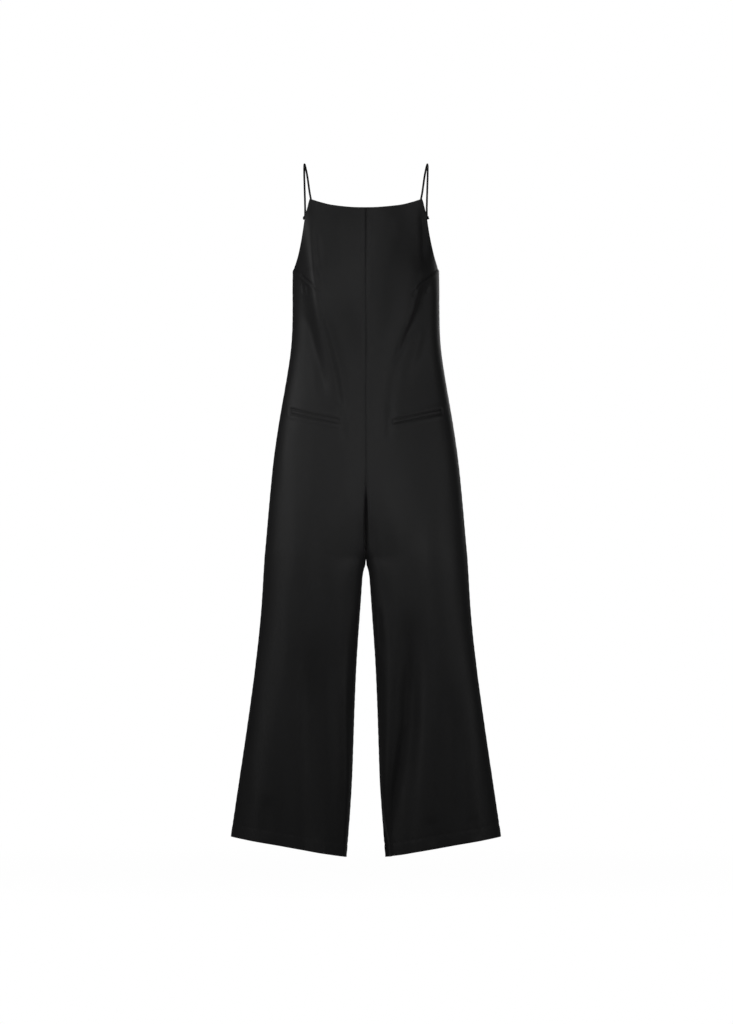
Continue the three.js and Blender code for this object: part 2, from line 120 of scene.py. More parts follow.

# The listed creases, on the wearer's side that side names. Each runs down through places
# (across, drop). It sinks by depth, or stands out where that is negative, and fades over widths, first
# towards the centre and then towards the side.
CREASES = [
    {"face": "front", "side": "right", "depth": -3.4, "widths": (8, 13),
     "line": [(121, 90), (119, 175), (115, 235), (108, 297), (98, 345), (88, 390), (78, 430),
              (70, 468), (54, 560)]},
    {"face": "front", "side": "right", "depth": 2.2, "widths": (14, 6),
     "line": [(117, 115), (111, 160), (103, 228), (92, 268), (82, 300)]},
    {"face": "front", "side": "right", "depth": 2.8, "widths": (11, 7),
     "line": [(103, 310), (86, 352), (72, 392), (58, 446), (51, 490), (39, 570)]},
    {"face": "front", "side": "right", "depth": 3.0, "widths": (10, 10),
     "line": [(146, 315), (127, 352), (117, 390), (109, 422), (95, 483), (88, 530)]},
    {"face": "front", "side": "left", "depth": 3.4, "widths": (6, 10),
     "line": [(124, 95), (126, 165), (127, 235)]},
    {"face": "front", "side": "left", "depth": 8.0, "widths": (11, 15),
     "line": [(134, 236), (129, 285), (120, 320), (109, 347), (97, 371), (87, 396), (78, 418), (66, 455)]},
    {"face": "front", "side": "left", "depth": -1.2, "widths": (5, 9),
     "line": [(127, 350), (118, 390), (108, 420), (97, 450)]},
    {"face": "front", "side": "left", "depth": 1.8, "widths": (10, 13),
     "line": [(74, 396), (64, 450), (57, 490), (48, 580)]},
    {"face": "front", "side": "right", "depth": 0.8, "widths": (3, 3.4), "line": [(140, 260), (138, 286)]},
    {"face": "front", "side": "right", "depth": 0.9, "widths": (3, 3.4), "line": [(130, 262), (127, 292)]},
    {"face": "front", "side": "left", "depth": 1.2, "widths": (3, 3.6), "line": [(139, 264), (136, 286)]},
    {"face": "front", "side": "left", "depth": 1.6, "widths": (3, 4), "line": [(108, 274), (101, 292)]},
    {"face": "front", "side": "both", "depth": 1.5, "widths": (8, 8),
     "line": [(58, 520), (52, 566), (47, 615)]},
    {"face": "front", "side": "left", "depth": 13.5, "widths": (13, 26),
     "line": [(98, 960), (97, 1089), (90, 1234), (78, 1317), (64, 1386), (50, 1483), (40, 1640)]},
    {"face": "front", "side": "left", "depth": -3.0, "widths": (14, 12),
     "line": [(62, 1010), (60, 1180), (48, 1320), (34, 1440)]},
    {"face": "front", "side": "left", "depth": 3.2, "widths": (4, 8),
     "line": [(28, 968), (27, 1015), (30, 1076)]},
    {"face": "front", "side": "left", "depth": 3.0, "widths": (18, 26),
     "line": [(184, 1120), (195, 1250), (200, 1400), (206, 1522)]},
    {"face": "front", "side": "right", "depth": 8.5, "widths": (36, 20),
     "line": [(122, 1010), (120, 1250), (116, 1400), (112, 1640)]},
    {"face": "front", "side": "right", "depth": -2.6, "widths": (12, 18),
     "line": [(54, 1080), (50, 1290), (48, 1450)]},
    {"face": "front", "side": "left", "depth": 1.6, "widths": (12, 12), "line": [(140, 1430), (147, 1500)]},
    {"face": "front", "side": "left", "depth": 1.2, "widths": (10, 12), "line": [(232, 1425), (246, 1490)]},
    {"face": "front", "side": "right", "depth": 1.4, "widths": (12, 14),
     "line": [(214, 1380), (226, 1490)]},
    {"face": "back", "side": "left", "depth": 1.8, "widths": (10, 10),
     "line": [(14, 402), (62, 408), (124, 396)]},
    {"face": "back", "side": "right", "depth": 1.3, "widths": (9, 9),
     "line": [(30, 388), (78, 397), (116, 390)]},
    {"face": "back", "side": "left", "depth": 1.0, "widths": (8, 8),
     "line": [(24, 440), (66, 447), (98, 444)]},
    {"face": "back", "side": "right", "depth": 1.6, "widths": (9, 9),
     "line": [(8, 424), (58, 430), (118, 446)]},
    {"face": "back", "side": "left", "depth": -2.2, "widths": (12, 9),
     "line": [(122, 132), (98, 210), (72, 300)]},
    {"face": "back", "side": "right", "depth": -1.8, "widths": (14, 9),
     "line": [(118, 150), (104, 235), (86, 330)]},
    {"face": "back", "side": "left", "depth": 1.7, "widths": (15, 12),
     "line": [(30, 902), (84, 926), (156, 920)]},
    {"face": "back", "side": "right", "depth": 1.3, "widths": (15, 15),
     "line": [(48, 930), (96, 948), (140, 972)]},
    {"face": "back", "side": "left", "depth": 1.2, "widths": (14, 14),
     "line": [(14, 640), (58, 706), (112, 786)]},
    {"face": "back", "side": "right", "depth": 1.6, "widths": (16, 12),
     "line": [(20, 690), (70, 748), (104, 812)]},
    {"face": "back", "side": "left", "depth": 5.0, "widths": (14, 22),
     "line": [(122, 1010), (113, 1250), (96, 1500)]},
    {"face": "back", "side": "right", "depth": 4.2, "widths": (18, 24),
     "line": [(132, 1060), (122, 1290), (118, 1500)]},
    {"face": "back", "side": "right", "depth": -2.4, "widths": (16, 16),
     "line": [(78, 1120), (76, 1300), (70, 1480)]},
    {"face": "back", "side": "left", "depth": 1.6, "widths": (12, 12), "line": [(206, 1380), (222, 1490)]},
]

# The strap's route, as on the solids, but its front end runs down inside the corner it is sewn to.
STRAP_RADIUS = 2.2
STRAP_RUN = [
    {"x": 117.8, "y": -44.0, "drop": 92},
    {"x": 120.6, "y": -46.2, "drop": 78},
    {"x": 123.8, "y": -46.5, "drop": 62},
    {"x": 126.2, "y": -40.0, "drop": 44},
    {"x": 128.6, "y": -32.5, "drop": 26},
    {"x": 132.0, "y": -23.0, "drop": 9.5},
    {"x": 134.3, "y": -12.0, "drop": 0.4},
    {"x": 135.2, "y": 0.0, "drop": -2.2},
    {"x": 135.9, "y": 12.0, "drop": 0.4},
    {"x": 136.1, "y": 23.0, "drop": 9.5},
    {"x": 135.9, "y": 32.5, "drop": 27},
    {"x": 135.2, "y": 41.0, "drop": 50},
    {"x": 134.4, "y": 49.5, "drop": 80},
]
KNOT = {"radius": 4.5, "cord": 1.5, "points": 72, "out": 1.2}

STITCH = {"length": 2.4, "radius": 0.22, "pitch": 16.0}

# The studio's soft lights, in metres and watts. Most of the light falls on the front of the bodice.
LIGHTS = [
    {"name": "upper", "place": (0.0, -1.3, 0.55), "towards": (0, 0, -0.3), "size": 0.5, "power": 2.3},
    {"name": "front", "place": (-0.3, -1.2, -0.15), "towards": (0, 0, -0.3), "size": 0.5, "power": 1.3},
    {"name": "front_right", "place": (0.6, -1.4, -0.1), "towards": (0, 0, -0.3), "size": 0.5, "power": 0.7},
    {"name": "front_low", "place": (0.1, -1.0, -0.75), "towards": (0, 0, -0.8), "size": 0.4, "power": 1.1},
    {"name": "left_near", "place": (-1.4, -0.7, -0.05), "towards": (0, 0, -0.3), "size": 0.6, "power": 4.6},
    {"name": "left_far", "place": (-2.0, -0.6, -0.15), "towards": (0, 0, -0.4), "size": 0.8, "power": 1.8},
    {"name": "left_low", "place": (-0.9, -0.9, -0.9), "towards": (0, 0, -0.95), "size": 0.4, "power": 1.1},
    {"name": "right", "place": (1.4, -1.0, -0.6), "towards": (0, 0, -0.6), "size": 0.7, "power": 2.0},
    {"name": "right_far", "place": (2.0, -0.9, -0.8), "towards": (0, 0, -0.75), "size": 0.8, "power": 1.2},
    {"name": "right_low", "place": (0.9, -0.9, -0.85), "towards": (0, 0, -0.95), "size": 0.4, "power": 0.4},
    {"name": "back", "place": (0.3, 1.9, -0.2), "towards": (0, 0, -0.4), "size": 0.8, "power": 8.0},
    {"name": "back_side", "place": (1.3, 1.7, -0.1), "towards": (0, 0, -0.5), "size": 0.8, "power": 3.0},
]

# The camera stands far off, and each of the picture's rows shows so many millimetres.
CAMERA = {"distance": 20.0, "across": 0.0012, "level": -0.7634, "rows": 1024, "row": 2.2}


def only(*pieces):
    """Selects these objects and nothing else."""
    bpy.ops.object.select_all(action="DESELECT")
    for piece in pieces:
        piece.select_set(True)
    bpy.context.view_layer.objects.active = pieces[0]


def smooth(values):
    """0 below 0, 1 above 1, and a soft rise between."""
    t = np.clip(values, 0, 1)
    return t * t * (3 - 2 * t)


def joined_copy(node, name):
    """A copy of a node's solid as a new object, with its triangles joined up."""
    piece = bpy.data.objects.new(name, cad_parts[node].data.copy())
    piece.data.materials.clear()
    bpy.context.scene.collection.objects.link(piece)
    only(piece)
    bpy.ops.object.mode_set(mode="EDIT")
    bpy.ops.mesh.select_mode(type="EDGE")
    bpy.ops.mesh.select_all(action="SELECT")
    bpy.ops.mesh.remove_doubles(threshold=0.01 * MM)
    bpy.ops.object.mode_set(mode="OBJECT")
    return piece


def outer_side(mesh):
    """The faces of a wall's outer side, which is its largest stretch between sharp edges."""
    left = set(mesh.faces)
    stretches = []
    while left:
        edge = [left.pop()]
        stretch = []
        while edge:
            face = edge.pop()
            stretch.append(face)
            for rim in face.edges:
                beyond = [] if rim.seam else [other for other in rim.link_faces if other in left]
                left.difference_update(beyond)
                edge.extend(beyond)
        stretches.append(stretch)
    return max(stretches, key=lambda stretch: sum(face.calc_area() for face in stretch))


def edge_path(corner, first, corners):
    """The vertices along the rim from one corner, through the first, to the next corner."""
    path = [corner, first]
    while path[-1] not in corners:
        here, before = path[-1], path[-2]
        ahead = [rim.other_vert(here) for rim in here.link_edges if rim.is_boundary]
        path.append(next(vertex for vertex in ahead if vertex != before))
    return path


def panel_cage(node):
    """A panel's outer side in millimetres, as rows from the top down, each from the centre out."""
    draft = joined_copy(node, node + "_draft")
    bpy.ops.object.mode_set(mode="EDIT")
    bpy.ops.mesh.select_all(action="DESELECT")
    bpy.ops.mesh.edges_select_sharp(sharpness=math.radians(45))
    bpy.ops.mesh.mark_seam(clear=False)
    bpy.ops.mesh.select_all(action="SELECT")
    bpy.ops.mesh.tris_convert_to_quads(
        face_threshold=math.radians(60), shape_threshold=math.radians(80), topology_influence=1.8, seam=True
    )
    bpy.ops.object.mode_set(mode="OBJECT")
    mesh = bmesh.new()
    mesh.from_mesh(draft.data)
    outer = set(outer_side(mesh))
    bmesh.ops.delete(mesh, geom=[face for face in mesh.faces if face not in outer], context="FACES")
    corners = [vertex for vertex in mesh.verts if len(vertex.link_edges) == 2]
    highest = sorted(corners, key=lambda vertex: -vertex.co.z)[:2]
    centre, far = sorted(highest, key=lambda vertex: abs(vertex.co.x))
    paths = [edge_path(centre, rim.other_vert(centre), corners) for rim in centre.link_edges]
    row = next(path for path in paths if path[-1] == far)
    rows = [row]
    seen = set(row)
    while rows[-1][0] != paths[1 - paths.index(row)][-1]:
        below = []
        for vertex in rows[-1]:
            ends = [rim.other_vert(vertex) for rim in vertex.link_edges]
            below.append(next(end for end in ends if end not in seen))
        rows.append(below)
        seen.update(below)
    cage = np.array([[tuple(vertex.co) for vertex in line] for line in rows]) / MM
    mesh.free()
    bpy.data.objects.remove(draft)
    return cage


def travelled(points, axis):
    """How far each point of a grid is from the first one, along an axis."""
    steps = np.linalg.norm(np.diff(points, axis=axis), axis=-1)
    start = np.zeros_like(steps.take([0], axis=axis))
    return np.concatenate([start, np.cumsum(steps, axis=axis)], axis=axis)


def curve_through(points, at, axis=0):
    """Places on a smooth curve that follows the points, where at counts points along an axis."""
    p = np.moveaxis(points, axis, 0)
    p = np.concatenate([2 * p[:1] - p[1:2], p, 2 * p[-1:] - p[-2:-1]])
    start = np.clip(at.astype(int), 0, len(p) - 4)
    t = (at - start).reshape(-1, *[1] * (p.ndim - 1))
    weights = [(1 - t) ** 3, 3 * t**3 - 6 * t**2 + 4, 1 + 3 * (t + t**2 - t**3), t**3]
    curve = sum(weight * p[start + k] for k, weight in enumerate(weights)) / 6
    return np.moveaxis(curve, 0, axis)


def row_places(cage):
    """Where the fine rows lie among a cage's own rows."""
    drops = -cage[..., 2].mean(axis=1)
    places = [drops[0]]
    for band in ROW_STEPS:
        end = min(band["to"], drops[-1])
        if end > places[-1]:
            count = max(1, round((end - places[-1]) / band["step"]))
            places += list(np.linspace(places[-1], end, count + 1)[1:])
    places += [drops[0] + line for line in EDGE_LINES] + [drops[-1] - line for line in EDGE_LINES]
    return np.interp(sorted(places), drops, np.arange(len(drops)))


def column_places(cage):
    """Where the fine columns lie among a cage's own columns."""
    widths = travelled(cage, 1).mean(axis=0)
    places = list(np.linspace(0, widths[-1], COLUMN_STEPS + 1))
    places += list(EDGE_LINES) + [widths[-1] - line for line in EDGE_LINES]
    return np.interp(sorted(places), widths, np.arange(len(widths)))


def line_distance(across, drop, line):
    """How far each place is from a line, how far along it the nearest place is, and the side it is on."""
    ends = np.array(line, float)
    lengths = np.concatenate([[0], np.cumsum(np.linalg.norm(np.diff(ends, axis=0), axis=1))])
    nearest = np.full(across.shape, np.inf)
    share = np.zeros(across.shape)
    below = np.zeros(across.shape)
    for k in range(len(ends) - 1):
        step = ends[k + 1] - ends[k]
        from_x, from_drop = across - ends[k][0], drop - ends[k][1]
        t = np.clip((from_x * step[0] + from_drop * step[1]) / (step @ step), 0, 1)
        distance = np.hypot(from_x - t * step[0], from_drop - t * step[1])
        closer = distance < nearest
        nearest = np.where(closer, distance, nearest)
        share = np.where(closer, (lengths[k] + t * (lengths[k + 1] - lengths[k])) / lengths[-1], share)
        below = np.where(closer, from_x * step[1] - from_drop * step[0], below)
    return nearest, share, below > 0


def eased(table, at, reach):
    """The values that a table of places and values gives at places, with its corners rounded over a reach."""
    spots = np.linspace(-reach, reach, 9)
    return sum(np.interp(at + spot, *np.transpose(table)) for spot in spots) / len(spots)


class Panel:
    """One of the four long pieces of cloth, as a fine grid of points from the top down and the centre out."""

    def __init__(self, face, word):
        self.node = f"{face}_{word}"
        self.name = f"crepe_{face}_{word}"
        self.face, self.word, self.side = face, word, SIDES[word]
        self.turn = self.side * (1 if face == "front" else -1)
        cage = panel_cage(self.node)
        cage[..., 0] -= self.side * SEAM_GAP / 2
        cage[..., 1] += SEAM_GAP / 2 if face == "front" else -SEAM_GAP / 2
        fine = curve_through(cage, row_places(cage), 0)
        self.base = curve_through(fine, column_places(cage), 1)
        if face == "front":
            self.neckline()
        self.meet_at_seams()
        self.measure()
        self.shape()

    def neckline(self):
        """Draws the neckline down between the straps and out to a sharper corner under each."""
        across, below = np.abs(self.base[..., 0]), travelled(self.base, 0)
        self.base[..., 2] += eased(NECKLINE, across, 9) * smooth(1 - below / 70)
        self.base[..., 0] += self.side * CORNER_OUT * smooth((across - 92) / 28) * smooth(1 - below / 26)

    def meet_at_seams(self):
        """Closes the side seam up to the underarm, and draws the crotch down to where the legs part."""
        outwards = travelled(self.base, 1)
        inwards = outwards[:, -1:] - outwards
        gap = np.where(-self.base[:, -1:, 2] > UNDERARM_DROP, self.base[:, -1:, 1], 0)
        self.base[..., 1] -= gap * np.exp(-((inwards / SEAM_BEND) ** 2))
        down = (-self.base[..., 2] - CROTCH_DROP) / CROTCH_LOWERED["down"]
        out = outwards / CROTCH_LOWERED["across"]
        self.base[..., 2] -= CROTCH_LOWERED["by"] * np.exp(-(down**2) - out**2)

    def measure(self):
        """Which way the cloth faces, and how far each place is from the panel's edges."""
        normals = np.cross(np.gradient(self.base, axis=0), np.gradient(self.base, axis=1)) * self.turn
        self.normals = normals / np.linalg.norm(normals, axis=-1, keepdims=True)
        self.across, self.drop = np.abs(self.base[..., 0]), -self.base[..., 2]
        self.from_centre = travelled(self.base, 1)
        self.from_side = self.from_centre[:, -1:] - self.from_centre
        self.from_top = travelled(self.base, 0)
        self.from_hem = self.from_top[-1:] - self.from_top
        self.at_armhole = self.drop[:, -1:] < UNDERARM_DROP
        # Painted shade: how strongly the colour is darkened at each place, gathered from the seams, dart,
        # welt and crevice.
        self.painted_shade = np.zeros(self.drop.shape)

    def unevenness(self):
        """The broad waves, which no two stretches of cloth share."""
        lift = np.zeros(self.drop.size)
        for wave in WAVES:
            stretch = np.array([wave["across"], wave["across"], wave["down"]])
            places = self.base.reshape(-1, 3) / stretch + (wave["start"], 0, 0)
            lift += wave["height"] * np.array([noise.noise(Vector(place)) for place in places])
        return lift.reshape(self.drop.shape)

    def creases(self):
        """The listed creases."""
        lift = np.zeros(self.drop.shape)
        for crease in CREASES:
            if crease["face"] != self.face or crease["side"] not in ("both", self.word):
                continue
            distance, share, beyond = line_distance(self.across, self.drop, crease["line"])
            fade = smooth(share / 0.3) * smooth((1 - share) / 0.3)
            width = np.where(beyond, crease["widths"][1], crease["widths"][0])
            lift -= crease["depth"] * fade * np.exp(-((distance / width) ** 2))
        return lift

    def dart(self):
        """The bust dart: a sunk line of stitches, with the fold of cloth inside it standing out below."""
        distance, share, below = line_distance(self.across, self.drop, DART)
        fade = smooth((1 - share) / 0.25)
        sunk = np.exp(-((distance / 1.9) ** 2)) * fade
        fold = smooth(distance / 2.5) * smooth((11 - distance) / 6) * smooth((1 - share) / 0.5) * below
        # Painted shade along the dart's sunk line.
        self.painted_shade = np.maximum(self.painted_shade, np.exp(-((distance / 1.4) ** 2)) * fade)
        return 0.7 * fold - 1.25 * sunk

    def welt_seams(self):
        """The cloth sinks round the pocket welt, and stands a little between."""
        (x0, drop0), (x1, drop1) = WELT["inner"], WELT["outer"]
        half = WELT["height"] / 2 + 0.8
        above = [(x0 - 1, drop0 - half), (x1 + 1, drop1 - half)]
        below = [(x1 + 1, drop1 + half), (x0 - 1, drop0 + half)]
        distance, _, _ = line_distance(self.across, self.drop, above + below + above[:1])
        # Painted shade in the groove round the welt.
        self.painted_shade = np.maximum(self.painted_shade, np.exp(-((distance / 1.5) ** 2)))
        return -1.0 * np.exp(-((distance / 1.9) ** 2)) + 0.6 * np.exp(-(((distance - 6) / 4) ** 2))

    def seams(self):
        """The cloth beside each seam: raised over the allowance, and a little puckered."""
        lift = np.zeros(self.drop.shape)
        for distance, phase in ((self.from_centre, 0.0), (self.from_side + FAR * self.at_armhole, 2.1)):
            sway = np.array([noise.noise(Vector((phase, 0, row / 31))) for row in self.drop[:, 0]])[:, None]
            pucker = 0.22 * np.sin(self.drop / 3.1 + 5 * sway) * np.exp(-((distance / 6) ** 2))
            allowance = 0.12 * smooth(distance / 3) * smooth((14 - distance) / 3)
            lift += pucker * smooth(distance / 1.5) + allowance
        return lift

    def crotch(self):
        """The narrow crease above the crotch, and the full cloth beside it and down the inside legs."""
        near = smooth((self.drop - RISE_DROP) / (CROTCH_DROP - RISE_DROP))
        above = near * (self.drop < CROTCH_DROP + 1)
        # Painted shade down the crevice above the crotch.
        painted_shade = above * np.exp(-((self.from_centre / CREVICE["painted_shade"]) ** 2))
        self.painted_shade = np.maximum(self.painted_shade, painted_shade)
        crease = above * CREVICE["depth"] * np.exp(-((self.from_centre / CREVICE["width"]) ** 2))
        down_leg = smooth((self.drop - CROTCH_DROP) / FULL_FROM["change"])
        reach = FULL_FROM["trunk"] + (FULL_FROM["leg"] - FULL_FROM["trunk"]) * down_leg
        fade = np.exp(-(((self.across - self.across[:, :1]) / FULL_ACROSS) ** 2))
        return crease - smooth(self.from_centre / reach) * fade * eased(FULLNESS, self.drop, FULLNESS_EASE)

    def hem(self):
        """The turned-up hem: a faint step at its depth, and a dimple at each blind stitch."""
        step = 0.18 * smooth((HEM_DEPTH - self.from_hem) / 4)
        phase = self.from_centre / STITCH["pitch"] * 2 * np.pi
        tension = [noise.noise(Vector((place / 60, self.side * 7, 3))) for place in self.from_centre[-1]]
        pull = HEM_PULL[self.word] * (0.6 + np.array(tension)) * (0.5 + 0.5 * np.cos(phase)) ** 2
        return step - pull * np.exp(-(((self.from_hem - HEM_DEPTH) / 3.6) ** 2))

    def rolled(self, distance):
        """How far a turned edge has rolled in at a distance from it."""
        inside = np.clip(EDGE_ROLL - distance, 0, EDGE_ROLL)
        return EDGE_ROLL - np.sqrt(EDGE_ROLL**2 - inside**2)

    def shape(self):
        """Works out the outer and the inner face of the cloth."""
        armhole = self.from_side + FAR * ~self.at_armhole
        edge = np.minimum(self.from_top, armhole)
        free = np.minimum(edge, self.from_hem)
        sewn = np.minimum(self.from_centre, self.from_side + FAR * self.at_armhole)
        lift = (self.unevenness() + self.creases()) * smooth(sewn / 12) + self.seams() + self.hem()
        if self.face == "front":
            lift += self.dart() + self.welt_seams()
        # Painted shade along the sewn seams.
        self.painted_shade = np.maximum(self.painted_shade, np.exp(-((sewn / 1.5) ** 2)))
        roll = self.rolled(free)
        sunk = SEAM_SINK * np.exp(-((sewn / 1.6) ** 2))
        thickness = CLOTH + (EDGE_CLOTH - CLOTH) * smooth((EDGE_DEPTH - edge) / 2)
        thickness += (HEM_CLOTH - CLOTH) * smooth((HEM_DEPTH - self.from_hem) / 2)
        ways = self.normals.copy()
        ways[..., 0] *= np.where(self.drop < CROTCH_DROP, smooth(self.from_centre / SEAM_BEND), 1)
        drawn = self.base.copy()
        drawn[..., 1] += self.crotch() if self.face == "front" else -self.crotch()
        self.outer = drawn + ways * (lift - np.maximum(roll, sunk))[..., None]
        self.inner = drawn + ways * (lift - thickness + roll)[..., None]

    def tree(self):
        """The outer face for looking up places on it."""
        rows, columns = self.drop.shape
        at = np.arange(rows * columns).reshape(rows, columns)
        quads = np.stack([at[:-1, :-1], at[1:, :-1], at[1:, 1:], at[:-1, 1:]], axis=-1).reshape(-1, 4)
        return BVHTree.FromPolygons(self.outer.reshape(-1, 3).tolist(), quads.tolist())


def closed_sheet(name, outer, inner, flipped):
    """A shell of cloth through two grids of points in millimetres. Also gives each vertex's place in them."""
    rows, columns = outer.shape[:2]
    bpy.ops.object.select_all(action="DESELECT")
    bpy.ops.mesh.primitive_grid_add(x_subdivisions=columns - 1, y_subdivisions=rows - 1, size=1)
    piece = bpy.context.object
    piece.name = name
    plain = np.empty(rows * columns * 3)
    piece.data.vertices.foreach_get("co", plain)
    plain = plain.reshape(-1, 3)
    row = np.rint((0.5 - plain[:, 1]) * (rows - 1)).astype(int)
    column = np.rint((0.5 + (-plain[:, 0] if flipped else plain[:, 0])) * (columns - 1)).astype(int)
    piece.data.vertices.foreach_set("co", (outer[row, column] * MM).ravel())
    wall = piece.modifiers.new("wall", "SOLIDIFY")
    wall.thickness = CLOTH * MM
    wall.offset = -1
    bpy.ops.object.modifier_apply(modifier=wall.name)
    both = np.concatenate([outer[row, column], inner[row, column]]) * MM
    piece.data.vertices.foreach_set("co", both.ravel())
    piece.data.update()
    return piece, row, column


def lay_uv(piece, places):
    """Gives each vertex its place on the flat cloth, in metres, so that a weave runs true to size."""
    corners = np.empty(len(piece.data.loops), int)
    piece.data.loops.foreach_get("vertex_index", corners)
    piece.data.uv_layers.active.name = "cloth"
    piece.data.uv_layers.active.data.foreach_set("uv", places[corners].ravel())


def finish_piece(piece, material, angle=50):
    """Smooth shading, a material and a body, as every piece has."""
    only(piece)
    bpy.ops.object.shade_smooth_by_angle(angle=math.radians(angle))
    piece.data.materials.clear()
    piece.data.materials.append(material)
    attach(piece, BODY)


def dress(panel, material):
    """The panel's shell, with its weave's map and the painted shade that darkens its seams, dart, welt and
    crevice.
    """
    piece, row, column = closed_sheet(panel.name, panel.outer, panel.inner, panel.turn < 0)
    flat = np.stack([panel.from_centre[row, column], -panel.from_top[row, column]], axis=-1) * MM
    lay_uv(piece, np.concatenate([flat, flat]))
    # Painted shade: how much the material darkens each vertex, kept as a layer on the mesh.
    mark = piece.data.attributes.new("painted_shade", "FLOAT", "POINT")
    painted_shade = panel.painted_shade[row, column]
    mark.data.foreach_set("value", np.concatenate([painted_shade, painted_shade]))
    finish_piece(piece, material)
    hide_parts(panel.node)
    return piece


def place_on(tree, across, drop, lift):
    """The place that far off the front's cloth, in millimetres, and the way the cloth faces there."""
    place, normal, _, _ = tree.ray_cast(Vector((across, -400, -drop)), Vector((0, 1, 0)))
    return np.array(place + normal * lift), normal


def pocket_welt(panel, tree, material):
    """A folded strip of cloth over the pocket's mouth, full along its top fold and flat at its lower seam."""
    (x0, drop0), (x1, drop1) = WELT["inner"], WELT["outer"]
    rows, columns = 15, 76
    outer = np.zeros((rows, columns, 3))
    inner = np.zeros((rows, columns, 3))
    for i in range(columns):
        t = i / (columns - 1)
        to_end = min(t, 1 - t) * math.hypot(x1 - x0, drop1 - drop0)
        for j in range(rows):
            h = (1 - math.cos(math.pi * j / (rows - 1))) / 2
            across = panel.side * (x0 + (x1 - x0) * t)
            drop = drop0 + (drop1 - drop0) * t + (h - 0.5) * WELT["height"]
            full = (1 - abs(2 * h - 1) ** 5) ** 0.5 * (1.15 - 0.45 * h) * min(1, 0.35 + to_end / 5)
            ripple = 0.12 * noise.noise(Vector((t * 9, h, panel.side)))
            outer[j, i], _ = place_on(tree, across, drop, 0.35 + 1.15 * full + ripple)
            inner[j, i], _ = place_on(tree, across, drop, 0.1)
    piece, row, column = closed_sheet(f"welt_{panel.word}", outer, inner, panel.turn < 0)
    flat = np.stack([travelled(outer, 1)[row, column], -travelled(outer, 0)[row, column]], axis=-1) * MM
    lay_uv(piece, np.concatenate([flat, flat]))
    finish_piece(piece, material, 65)
    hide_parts(f"pocket_welt_{panel.word}")
    return piece


def thread_rows(name, places, material):
    """Short threads, each at a centre, along a direction and over a normal, joined as one piece."""
    bpy.ops.object.select_all(action="DESELECT")
    bpy.ops.mesh.primitive_cylinder_add(vertices=8, radius=1, depth=2)
    first = bpy.context.object
    bpy.ops.object.mode_set(mode="EDIT")
    bpy.ops.mesh.select_all(action="SELECT")
    bpy.ops.mesh.bevel(offset=0.45, segments=2, affect="EDGES")
    bpy.ops.object.mode_set(mode="OBJECT")
    threads = []
    for centre, along, normal, length, radius in places:
        thread = bpy.data.objects.new(name, first.data.copy())
        bpy.context.scene.collection.objects.link(thread)
        along = Vector(along).normalized()
        up = (Vector(normal) - along * along.dot(Vector(normal))).normalized()
        turn = Matrix((up.cross(along), up, along)).transposed().to_4x4()
        size = Matrix.Diagonal((radius * MM, radius * MM, length / 2 * MM, 1))
        thread.data.transform(Matrix.Translation(Vector(centre) * MM) @ turn @ size)
        threads.append(thread)
    bpy.data.objects.remove(first)
    only(*threads)
    bpy.ops.object.join()
    piece = bpy.context.object
    piece.name = name
    finish_piece(piece, material)
    return piece


def hem_stitches(panel, material):
    """The blind stitches that hold the hem, each a short thread that just shows."""
    row = int(np.abs(panel.from_hem.mean(axis=1) - HEM_DEPTH).argmin())
    walked = panel.from_centre[row]
    places = []
    for k in range(1, int(walked[-1] / STITCH["pitch"])):
        at = np.interp(k * STITCH["pitch"], walked, np.arange(len(walked)))
        i, t = int(at), at - int(at)
        centre = panel.outer[row, i] * (1 - t) + panel.outer[row, i + 1] * t
        normal = panel.normals[row, i]
        along = panel.outer[row, i + 1] - panel.outer[row, i] + np.array((0, 0, 0.12 * (-1) ** k))
        places.append((centre + normal * 0.05, along, normal, STITCH["length"], STITCH["radius"]))
    return thread_rows(f"hem_stitches_{panel.node}", places, material)


def bar_tacks(panel, tree, material):
    """A block of close stitches across each end of the pocket's mouth."""
    (x0, drop0), (x1, drop1) = WELT["inner"], WELT["outer"]
    places = []
    for end, drop_end, inward in ((x0, drop0, 1), (x1, drop1, -1)):
        for k in range(22):
            drop = drop_end + (k / 21 - 0.5) * (WELT["height"] + 1.2)
            centre, normal = place_on(tree, panel.side * (end + inward * 0.5), drop, 0.75)
            beside, _ = place_on(tree, panel.side * (end + inward * 2.2), drop + 0.2, 0.75)
            places.append((centre, beside - centre, normal, 1.9, 0.26))
    return thread_rows(f"bar_tacks_{panel.word}", places, material)


def tube(name, points, radius, closed=False):
    """A round cord through points in millimetres, as a mesh."""
    line = bpy.data.curves.new(name, "CURVE")
    line.dimensions = "3D"
    line.bevel_depth = radius * MM
    line.bevel_resolution = 5
    line.use_fill_caps = not closed
    spline = line.splines.new("POLY")
    spline.points.add(len(points) - 1)
    spline.points.foreach_set("co", np.column_stack([points * MM, np.ones(len(points))]).ravel())
    spline.use_cyclic_u = closed
    piece = bpy.data.objects.new(name, line)
    bpy.context.scene.collection.objects.link(piece)
    only(piece)
    bpy.ops.object.convert(target="MESH")
    bpy.ops.object.mode_set(mode="EDIT")
    bpy.ops.mesh.select_all(action="SELECT")
    bpy.ops.mesh.remove_doubles(threshold=0.001 * MM)
    bpy.ops.mesh.normals_make_consistent(inside=False)
    bpy.ops.object.mode_set(mode="OBJECT")
    return bpy.context.object


def crinkle(piece, amount, scale):
    """Small uneven creases over a piece, in millimetres."""
    for vertex in piece.data.vertices:
        x, y, z = vertex.co / MM
        twist = noise.noise(Vector(((x + z) / scale, (y + z) / scale, (z - x) / (2.6 * scale))))
        vertex.co += vertex.normal * amount * twist * MM


